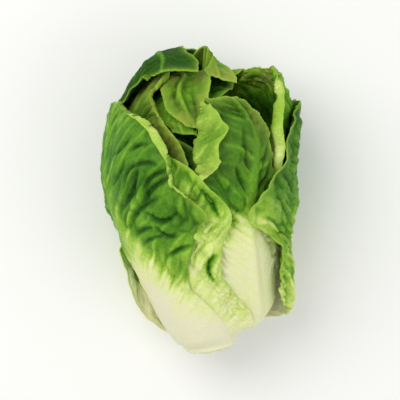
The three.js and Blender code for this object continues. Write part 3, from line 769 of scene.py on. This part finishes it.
def tints(at, leaf):
    """How green each point is, from 0 for the white of the rib to 1 for the darkest blade, with painted shade
    in grooves and creases.
    """
    edge_at = at.out * (1 + 0.22 * at.streak) / (at.half * 1.12)
    rib_white = np.exp(-(edge_at ** leaf["blend"])) * (1 - RIB_GREENS * step(at.share, *leaf["white"]))
    rib_white *= leaf["rib_share"]
    tint = keyed(at.share, leaf["tint"]) + SIDES_DARKER * step(at.out, 12, 40) * step(at.share, 0.2, 0.5)
    tint = tint * (1 - rib_white) + leaf["rib_tint"] * rib_white
    vein_lighter = 0.1 + 0.08 * np.exp(-np.maximum(at.out - at.half, 0) / 12)
    tint -= at.vein * vein_lighter * step(tint, 0.1, 0.4)
    pale = step(tint, 0.04, 0.2) * (1 - 0.7 * step(tint, 0.4, 0.6))
    tint += at.streak * 0.09 * pale * np.exp(-(at.out / 40))
    tint -= leaf["pale_fold"] * at.folded
    # Listed patches: the leaf's own lighter or darker places, and painted shade in hollows or painted light
    # where a cast shadow falls.
    for angle, height, darker, reach, tall in leaf["shades"]:
        tint += darker * near_place(at.grid, angle, height, reach, tall) * step(tint, 0.08, 0.3)
    # Painted shade: the grooves between the puffs and the crease lines are darkened, more on green blade than
    # on pale, and the crease lines by each leaf's own extra amount too.
    green = step(tint, 0.25, 0.5)
    tint += (GROOVE_DARK * at.grooves + CREASE_DARK * at.mask) * green
    tint += PALE_GROOVE_DARK * at.grooves * (1 - green)
    tint += (PALE_CREASE_DARK + leaf["painted_crease_shadow"]) * at.mask
    tint += MOTTLE * waves(at.up, at.across, WAVE_LENGTH, leaf["seed"] + 21, 3) * at.blade
    return np.clip(tint, 0, 1)


def ageing(at, leaf):
    """How far each point has turned olive, over the share, along the margin and on folded strips."""
    at_margin = np.exp(-((at.margin / MARGIN_WIDTH) ** 2)) * step(at.share, 0.4, 0.65)
    age = keyed(at.share, leaf["age"]) + leaf["aged_margin"] * at_margin
    return np.clip(np.maximum(age, at.folded * leaf["aged_margin"]), 0, 1)


def leaf_surface(leaf, look):
    """The outer face of a leaf as a grid of points, with what its colours need at each point."""
    at = leaf_chart(leaf_grid(leaf, look), leaf)
    add_veins(at, leaf, look)
    at.deep, at.swell, at.mask = crease_profile(at.grid, leaf, look)
    add_folds(at, leaf)
    grid = at.shaped + at.outwards * relief(at, leaf, look)[..., None]
    thick = LEAST_THICK + RIB_THICK * at.rib * (1 - 0.8 * at.share) + BLADE_THICK * at.blade
    thick = MARGIN_THICK + (thick - MARGIN_THICK) * step(at.margin, 0, 3) * (0.35 + 0.65 * at.free)
    shapes = {
        "tint": tints(at, leaf), "vein": at.vein, "age": ageing(at, leaf),
        "rim": np.exp(-at.margin / RIM_WIDTH) * step(at.share, 0.16, 0.4),
    }
    return grid, thick, (at.up, at.across), shapes


CHART_SIZE = 200  # millimetres of leaf that one unit of its UV map spans
LEAF_SMOOTH = math.radians(70)
STEM_SMOOTH = math.radians(50)


def points_of(mesh):
    """The mesh's points as rows of x, y and z."""
    flat = np.zeros(len(mesh.vertices) * 3)
    mesh.vertices.foreach_get("co", flat)
    return flat.reshape(-1, 3)


def on_all_faces(operator, **settings):
    """Runs an edit operator on every face of the active piece."""
    bpy.ops.object.mode_set(mode="EDIT")
    bpy.ops.mesh.select_all(action="SELECT")
    operator(**settings)
    bpy.ops.object.mode_set(mode="OBJECT")


def grow_leaf(leaf, look):
    """Adds a grid, shapes it into the leaf, and gives it thickness."""
    grid, thick, (up, across), shapes = leaf_surface({**USUAL, **leaf}, look)
    columns, rows = leaf["cells"]
    bpy.ops.object.select_all(action="DESELECT")
    bpy.ops.mesh.primitive_grid_add(x_subdivisions=columns, y_subdivisions=rows, size=1, location=(0, 0, 0))
    piece = bpy.context.object
    piece.name = leaf["name"] + "_look"
    mesh = piece.data
    mesh.name = piece.name
    flat = points_of(mesh)
    column = np.rint((flat[:, 0] + 0.5) * columns).astype(int)
    row = np.rint((flat[:, 1] + 0.5) * rows).astype(int)
    placed = to_part(grid)[row, column] * MM
    mesh.vertices.foreach_set("co", placed.ravel())
    for name, values in shapes.items():
        layer = mesh.attributes.new(name, "FLOAT", "POINT")
        layer.data.foreach_set("value", values[row, column].astype(np.float32))
    corner = np.zeros(len(mesh.loops), int)
    mesh.loops.foreach_get("vertex_index", corner)
    uv = np.stack([across[row, column] / CHART_SIZE + 0.5, up[row, column] / CHART_SIZE], -1)[corner]
    mesh.uv_layers[0].data.foreach_set("uv", uv.astype(np.float32).ravel())
    mesh.update()

    most = float(thick.max())
    group = piece.vertex_groups.new(name="thickness")
    for number, weight in enumerate(thick[row, column] / most):
        group.add([number], float(weight), "REPLACE")

    # The grid's faces have to look away from the axis, so that the thickness goes inwards.
    face = mesh.polygons[len(mesh.polygons) // 2 + columns // 2]
    centre = to_part(np.array([0.0, WAIST, 0.0])) * MM
    if np.dot(np.array(face.normal), np.array(face.center) - centre) < 0:
        on_all_faces(bpy.ops.mesh.flip_normals)
    shell = piece.modifiers.new("Leaf thickness", "SOLIDIFY")
    shell.thickness = most * MM
    shell.offset = -1
    shell.vertex_group = "thickness"
    bpy.ops.object.modifier_apply(modifier=shell.name)
    piece.vertex_groups.clear()
    bpy.ops.object.shade_smooth_by_angle(angle=LEAF_SMOOTH)
    return piece


# ---------------------------------------------------------------- materials


class Socket:
    """A shader socket that can be used in sums."""

    def __init__(self, maker, output):
        self.maker, self.output = maker, output

    def _math(self, operation, first, second):
        """Adds one Math node, in this order of its two values."""
        return self.maker.node("ShaderNodeMath", {"operation": operation}, {0: first, 1: second})

    def __add__(self, other):
        return self._math("ADD", self, other)

    def __radd__(self, other):
        return self._math("ADD", other, self)

    def __sub__(self, other):
        return self._math("SUBTRACT", self, other)

    def __rsub__(self, other):
        return self._math("SUBTRACT", other, self)

    def __mul__(self, other):
        return self._math("MULTIPLY", self, other)

    def __rmul__(self, other):
        return self._math("MULTIPLY", other, self)


class Shading:
    """Makes the nodes of one material."""

    def __init__(self, name):
        self.material = bpy.data.materials.new(name)
        self.material.use_nodes = True
        self.tree = self.material.node_tree
        self.tree.nodes.clear()

    def node(self, kind, settings=None, inputs=None, output=0, stops=None):
        """Adds a node: its settings and a ramp's stops first, then the values or links of its sockets."""
        made = self.tree.nodes.new(kind)
        for key, value in (settings or {}).items():
            setattr(made, key, value)
        if stops:
            ramp = made.color_ramp
            while len(ramp.elements) < len(stops):
                ramp.elements.new(1.0)
            for element, (place, colour) in zip(ramp.elements, stops):
                element.position = place
                element.color = (*colour, 1)
        for key, value in (inputs or {}).items():
            if isinstance(value, Socket):
                self.tree.links.new(value.output, made.inputs[key])
            else:
                made.inputs[key].default_value = value
        return Socket(self, made.outputs[output]) if made.outputs else None

    def attribute(self, name):
        """A number that the mesh stores at each point."""
        return self.node("ShaderNodeAttribute", {"attribute_name": name}, output="Fac")

    def mixed(self, factor, first, second):
        """The first colour where the factor is 0 and the second where it is 1."""
        return self.node("ShaderNodeMix", {"data_type": "RGBA"}, {0: factor, 6: first, 7: second}, output=2)

    def noise(self, vector, scale, detail, **more):
        """Noise around 0.5."""
        inputs = {"Vector": vector, "Scale": scale, "Detail": detail, **more}
        return self.node("ShaderNodeTexNoise", {}, inputs)

    def ranged(self, value, low, high, first=0.0, last=1.0):
        """Runs from `first` to `last` while the value runs from `low` to `high`."""
        return self.node("ShaderNodeMapRange", {}, {0: value, 1: low, 2: high, 3: first, 4: last})

    def bump(self, strength, distance, height):
        """Fine relief for the Normal socket."""
        sizes = {"Strength": strength, "Distance": distance, "Height": height}
        return self.node("ShaderNodeBump", {}, sizes)

    def finish(self, inputs):
        """Feeds the surface shader and returns the material."""
        shader = self.node("ShaderNodeBsdfPrincipled", {}, inputs)
        self.node("ShaderNodeOutputMaterial", {}, {"Surface": shader})
        return self.material


def swing(noise, amount):
    """A noise as a change to both sides of zero."""
    return (noise - 0.5) * amount


def leaf_material(name, colours, dull=0.5, gloss=0.16):
    """Leaf skin: white rib to dark blade, with side veins, a fine net of veins, mottling and a light rim."""
    make = Shading(name)
    tint, vein, rim, age = (make.attribute(kind) for kind in ("tint", "vein", "rim", "age"))
    place = make.node("ShaderNodeTexCoord", output="Object")
    chart = make.node("ShaderNodeUVMap", {"uv_map": "UVMap"})
    wide = make.noise(place, scale=95.0, detail=3.0)
    fine = make.noise(place, scale=520.0, detail=4.0, Roughness=0.6)
    net = make.node("ShaderNodeTexVoronoi", {"feature": "DISTANCE_TO_EDGE"}, {"Vector": chart, "Scale": 85.0})
    threads = make.ranged(net, low=0.0, high=0.11, first=1.0, last=0.0)
    stretched = make.node("ShaderNodeMapping", {}, {"Vector": chart, "Scale": (330.0, 22.0, 1.0)})
    strands = make.noise(stretched, scale=1.0, detail=3.0)
    pale = make.ranged(tint, low=0.12, high=0.42, first=1.0, last=0.0)
    shade = tint + swing(wide, 0.16) + swing(fine, 0.13) - threads * 0.06 + swing(strands, 0.12) * pale
    base = make.node("ShaderNodeValToRGB", {}, {0: shade}, stops=[
        (0.0, colours.rib_white), (0.13, colours.foot_cream), (0.27, colours.heart_yellow),
        (0.42, colours.light_green), (0.6, colours.mid_green), (0.78, colours.deep_green),
        (1.0, colours.dark_green),
    ])
    spots = make.noise(place, scale=60.0, detail=3.0)
    dry = make.ranged(spots, low=0.38, high=0.62, first=0.25)
    weathered = make.ranged(spots, low=0.52, high=0.7)
    browned = make.mixed(weathered, (*colours.olive, 1), (*colours.brown_olive, 1))
    worn = make.mixed(dry * age, base, browned)
    edged = make.mixed(rim * 0.7, worn, (*colours.rim, 1))
    rough = dull + swing(wide, 0.25) + swing(fine, 0.2)
    height = threads * 0.35 + fine * 0.5 + vein * 0.2 + strands * pale * 0.5
    return make.finish({
        "Base Color": edged, "Roughness": rough, "Normal": make.bump(0.45, 0.0006, height),
        "Specular IOR Level": gloss, "Subsurface Weight": 0.12, "Subsurface Radius": (0.5, 0.9, 0.15),
        "Subsurface Scale": 0.0015,
    })


def stem_material(colours):
    """Stem flesh: moist and cream, browned in rings and at the edge of the cut."""
    make = Shading("Stem flesh")
    place = make.node("ShaderNodeTexCoord", output="Object")
    rings = make.noise(place, scale=260.0, detail=5.0)
    mask = make.attribute("dry") * 0.7 + swing(rings, 0.7)
    colour = make.node("ShaderNodeValToRGB", {}, {0: mask}, stops=[
        (0.0, colours.rib_white), (0.35, colours.foot_cream), (0.62, colours.cut_tan),
        (1.0, colours.cut_brown),
    ])
    return make.finish({
        "Base Color": colour, "Roughness": 0.36 + swing(rings, 0.3), "Normal": make.bump(0.4, 0.0005, rings),
        "Subsurface Weight": 0.15, "Subsurface Radius": (0.9, 0.8, 0.4), "Subsurface Scale": 0.002,
    })


def dress(piece, material, node):
    """Gives a piece its material and its body, and hides the CAD part that it stands for."""
    piece.data.materials.clear()
    piece.data.materials.append(material)
    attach(piece, "root")
    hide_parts(node)


# ---------------------------------------------------------------- add-on


class LettuceShape(bpy.types.PropertyGroup):
    """Sizes of the head and its leaves."""

    head_radius: bpy.props.FloatProperty(
        name="Head radius", description="Radius of the outermost leaves at the waist", default=0.049,
        min=0.01, subtype="DISTANCE", unit="LENGTH")
    neck_radius: bpy.props.FloatProperty(
        name="Neck radius", description="Radius of the outermost leaves at the cut stem", default=0.015,
        min=0.005, subtype="DISTANCE", unit="LENGTH")
    vein_spacing: bpy.props.FloatProperty(
        name="Vein spacing", description="Distance between side veins along a rib", default=0.0095,
        min=0.002, subtype="DISTANCE", unit="LENGTH")
    pucker_size: bpy.props.FloatProperty(
        name="Pucker size", description="Width of the puffs between the net veins", default=0.0058,
        min=0.001, subtype="DISTANCE", unit="LENGTH")
    wrinkle_height: bpy.props.FloatProperty(
        name="Wrinkle height", description="How far furrows and puffs stand from the leaf", default=0.0011,
        min=0.0, subtype="DISTANCE", unit="LENGTH")


def colour_property(name, description, default):
    """A colour that the user can change."""
    return bpy.props.FloatVectorProperty(
        name=name, description=description, default=default, size=3, min=0, max=1, subtype="COLOR")


class LettuceColours(bpy.types.PropertyGroup):
    """Colours of ribs, blades and the cut."""

    rib_white: colour_property("Rib white", "Thick ribs near the stem", (0.82, 0.81, 0.56))
    foot_cream: colour_property("Foot cream", "Leaf foot beside the rib", (0.80, 0.83, 0.42))
    heart_yellow: colour_property("Heart yellow", "Pale leaf near the heart", (0.66, 0.77, 0.23))
    light_green: colour_property("Light green", "Blade beside the ribs", (0.335, 0.545, 0.055))
    mid_green: colour_property("Mid green", "Most of an outer blade", (0.125, 0.32, 0.014))
    deep_green: colour_property("Deep green", "Upper blade", (0.052, 0.18, 0.006))
    dark_green: colour_property("Dark green", "Darkest blade", (0.014, 0.068, 0.002))
    olive: colour_property("Olive", "Margins and tips that have yellowed", (0.33, 0.39, 0.06))
    brown_olive: colour_property("Brown olive", "Weathered patches of the top leaves", (0.2, 0.2, 0.03))
    rim: colour_property("Rim", "Thin light line along the margin", (0.36, 0.58, 0.06))
    cut_tan: colour_property("Cut tan", "Dried flesh of the cut", (0.50, 0.36, 0.18))
    cut_brown: colour_property("Cut brown", "Darkest dried flesh", (0.22, 0.11, 0.04))


# Radius and height of the stem from the cut to its tip, in millimetres.
STEM_OUTLINE = [(10.5, -3), (11.4, -1.5), (11.4, 4), (10.4, 14), (8.6, 25), (5.6, 35), (2.6, 40), (0.6, 41.5)]
CUT_INSETS = (0.0016, 0.0022, 0.003, 0.002)  # rings of the cut face, from its edge inwards
CUT_RIM = (9.6, 1.4)  # radius and width of the dried ring at the edge of the cut
CUT_RING = (5, 0.8)  # and of the one inside it


class LETTUCE_OT_stem(bpy.types.Operator):
    """Build the stem with its cut face"""

    bl_idname = "lettuce.stem"
    bl_label = "Stem"

    def execute(self, context):
        (foot_radius, foot_height), *_ = STEM_OUTLINE
        bpy.ops.object.select_all(action="DESELECT")
        bpy.ops.mesh.primitive_circle_add(vertices=64, radius=foot_radius * MM, fill_type="NGON")
        piece = context.object
        piece.name = "stem_core_look"
        bpy.ops.object.mode_set(mode="EDIT")
        bpy.ops.mesh.select_all(action="SELECT")
        for (r0, h0), (r1, h1) in zip(STEM_OUTLINE, STEM_OUTLINE[1:]):
            bpy.ops.mesh.extrude_region_move(TRANSFORM_OT_translate={"value": (0, 0, (h1 - h0) * MM)})
            bpy.ops.transform.resize(value=(r1 / r0, r1 / r0, 1))
        on_all_faces(bpy.ops.mesh.normals_make_consistent, inside=False)
        mesh = piece.data
        shape = bmesh.new()
        shape.from_mesh(mesh)
        foot = [f for f in shape.faces if all(v.co.z < TINY for v in f.verts)]
        if not foot:
            raise RuntimeError("the stem has no cut face")
        for inset in CUT_INSETS:
            bmesh.ops.inset_region(shape, faces=foot, thickness=inset)
        shape.to_mesh(mesh)
        shape.free()
        refine = piece.modifiers.new("Refine", "SUBSURF")
        refine.levels = refine.render_levels = 2
        bpy.ops.object.modifier_apply(modifier=refine.name)
        co = points_of(mesh) / MM
        x, y, h = co[:, 0], co[:, 1], co[:, 2] + foot_height
        radius, turn = np.hypot(x, y), np.arctan2(y, x)
        scars = 0.35 * np.sin(turn * 5 + h * 0.4) + 0.2 * np.sin(turn * 11 - h)
        grow = 1 + (scars * step(radius, 3, 9)) / np.maximum(radius, 3)
        cut = step(-h, 1.6, 2.6)
        h = h + cut * (0.35 * waves(x, y, 7, 5, 3) - 0.4 * np.exp(-((radius / 3) ** 2)) - 0.3)
        points = np.stack([x * grow, h, -y * grow], -1)
        mesh.vertices.foreach_set("co", (to_part(points) * MM).ravel())
        rim, ring = (np.exp(-(((radius - middle) / width) ** 2)) for middle, width in (CUT_RIM, CUT_RING))
        dry = cut * (0.25 + 0.5 * rim + 0.3 * ring)
        mesh.attributes.new("dry", "FLOAT", "POINT").data.foreach_set("value", dry.astype(np.float32))
        mesh.update()
        on_all_faces(bpy.ops.mesh.normals_make_consistent, inside=False)
        bpy.ops.object.shade_smooth_by_angle(angle=STEM_SMOOTH)
        dress(piece, stem_material(context.scene.lettuce_colours), "stem_core")
        return {"FINISHED"}


def build_leaves(context, names, material):
    """Grows the leaves of one group, in the order in which they are listed."""
    for leaf in LEAVES:
        if leaf["name"] in names:
            dress(grow_leaf(leaf, context.scene.lettuce_shape), material, leaf["name"])


class LETTUCE_OT_outer_leaves(bpy.types.Operator):
    """Build the outer leaves: the one below, the big left one and the right one"""

    bl_idname = "lettuce.outer_leaves"
    bl_label = "Outer leaves"

    def execute(self, context):
        skin = leaf_material("Outer leaf", context.scene.lettuce_colours)
        build_leaves(context, {"underside_outer_leaf", "left_outer_leaf", "right_outer_leaf"}, skin)
        return {"FINISHED"}


class LETTUCE_OT_wrapping_leaves(bpy.types.Operator):
    """Build the leaves that wrap the front of the head"""

    bl_idname = "lettuce.wrapping_leaves"
    bl_label = "Wrapping leaves"

    def execute(self, context):
        skin = leaf_material("Wrapping leaf", context.scene.lettuce_colours)
        build_leaves(context, {"left_wrapper_leaf", "front_rib_leaf"}, skin)
        return {"FINISHED"}


class LETTUCE_OT_top_leaves(bpy.types.Operator):
    """Build the leaves that show at the top and the back"""

    bl_idname = "lettuce.top_leaves"
    bl_label = "Top leaves"

    def execute(self, context):
        skin = leaf_material("Top leaf", context.scene.lettuce_colours, dull=0.62, gloss=0.08)
        build_leaves(context, {"back_hood_leaf", "right_back_leaf", "left_inner_leaf", "pointed_tip_leaf",
                               "heart_cap_leaf", "heart_second_cap_leaf"}, skin)
        return {"FINISHED"}


class LETTUCE_OT_heart_leaves(bpy.types.Operator):
    """Build the tight, pale leaves of the heart"""

    bl_idname = "lettuce.heart_leaves"
    bl_label = "Heart leaves"

    def execute(self, context):
        skin = leaf_material("Heart leaf", context.scene.lettuce_colours)
        for index in range(len(HEART)):
            leaf = heart_leaf(index)
            dress(grow_leaf(leaf, context.scene.lettuce_shape), skin, leaf["name"])
        return {"FINISHED"}


TABLE_SIZE = 6  # metres
WORLD_STRENGTH = 0.68
CAMERA_ELEVATION = math.radians(89)
CAMERA_DISTANCE = 1.1  # metres
LENS = 208  # millimetres


def area_light(name, place, aim, size, power, colour):
    """A soft round lamp at `place` that looks at `aim`."""
    bpy.ops.object.select_all(action="DESELECT")
    bpy.ops.object.light_add(type="AREA", location=place)
    lamp = bpy.context.object
    lamp.name = name
    lamp.data.shape = "DISK"
    lamp.data.size = size
    lamp.data.energy = power
    lamp.data.color = colour
    lamp.rotation_euler = (aim - Vector(place)).to_track_quat("-Z", "Y").to_euler()


class LETTUCE_OT_stage(bpy.types.Operator):
    """Set the pale table, the soft lights and the camera"""

    bl_idname = "lettuce.stage"
    bl_label = "Stage"

    def execute(self, context):
        bpy.ops.object.select_all(action="DESELECT")
        bpy.ops.mesh.primitive_plane_add(size=TABLE_SIZE, location=(0, 0, 0))
        table = context.object
        table.name = "pale_table"
        make = Shading("Pale table")
        place = make.node("ShaderNodeTexCoord", output="Object")
        grain = make.noise(place, scale=40.0, detail=2.0)
        matt = {"Base Color": (0.9, 0.9, 0.89, 1), "Roughness": 0.72 + swing(grain, 0.1)}
        table.data.materials.append(make.finish(matt))
        low, high = CAD_BOX
        middle = (Vector(low) + Vector(high)) / 2
        area_light("Key", (-0.35, 0.3, 0.75), middle, size=0.7, power=3.6, colour=(1.0, 0.985, 0.95))
        area_light("Fill", (0.6, -0.35, 0.6), middle, size=0.8, power=1.5, colour=(0.95, 0.98, 1.0))
        world = bpy.data.worlds.new("Studio")
        context.scene.world = world
        world.use_nodes = True
        sky = world.node_tree.nodes["Background"].inputs
        sky["Color"].default_value = (1, 1, 1, 1)
        sky["Strength"].default_value = WORLD_STRENGTH
        context.scene.view_settings.view_transform = "Standard"
        towards = Vector((0, -math.cos(CAMERA_ELEVATION), math.sin(CAMERA_ELEVATION)))
        place = middle + towards * CAMERA_DISTANCE
        bpy.ops.object.select_all(action="DESELECT")
        bpy.ops.object.camera_add(location=place)
        camera = context.object
        camera.name = "View from above"
        camera.data.lens = LENS
        camera.data.clip_start = 0.01
        camera.rotation_euler = (math.pi / 2 - CAMERA_ELEVATION, 0, 0)
        context.scene.camera = camera
        return {"FINISHED"}


class LETTUCE_PT_panel(bpy.types.Panel):
    """Lists the steps that build the head"""

    bl_label = "Lettuce head"
    bl_idname = "LETTUCE_PT_panel"
    bl_space_type = "VIEW_3D"
    bl_region_type = "UI"
    bl_category = "Lettuce"

    def draw(self, context):
        layout = self.layout
        for group in (context.scene.lettuce_shape, context.scene.lettuce_colours):
            for name in group.__annotations__:
                layout.prop(group, name)
        for operator in STEPS:
            layout.operator(operator.bl_idname)


STEPS = (
    LETTUCE_OT_stem, LETTUCE_OT_outer_leaves, LETTUCE_OT_wrapping_leaves, LETTUCE_OT_top_leaves,
    LETTUCE_OT_heart_leaves, LETTUCE_OT_stage,
)
CLASSES = (LettuceShape, LettuceColours, *STEPS, LETTUCE_PT_panel)


def register():
    for cls in CLASSES:
        bpy.utils.register_class(cls)
    bpy.types.Scene.lettuce_shape = bpy.props.PointerProperty(type=LettuceShape)
    bpy.types.Scene.lettuce_colours = bpy.props.PointerProperty(type=LettuceColours)


def unregister():
    del bpy.types.Scene.lettuce_shape
    del bpy.types.Scene.lettuce_colours
    for cls in reversed(CLASSES):
        bpy.utils.unregister_class(cls)


def main():
    """Registers the add-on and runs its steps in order."""
    register()
    for step_class in STEPS:
        group, name = step_class.bl_idname.split(".")
        getattr(getattr(bpy.ops, group), name)()


if __name__ == "__main__":
    main()
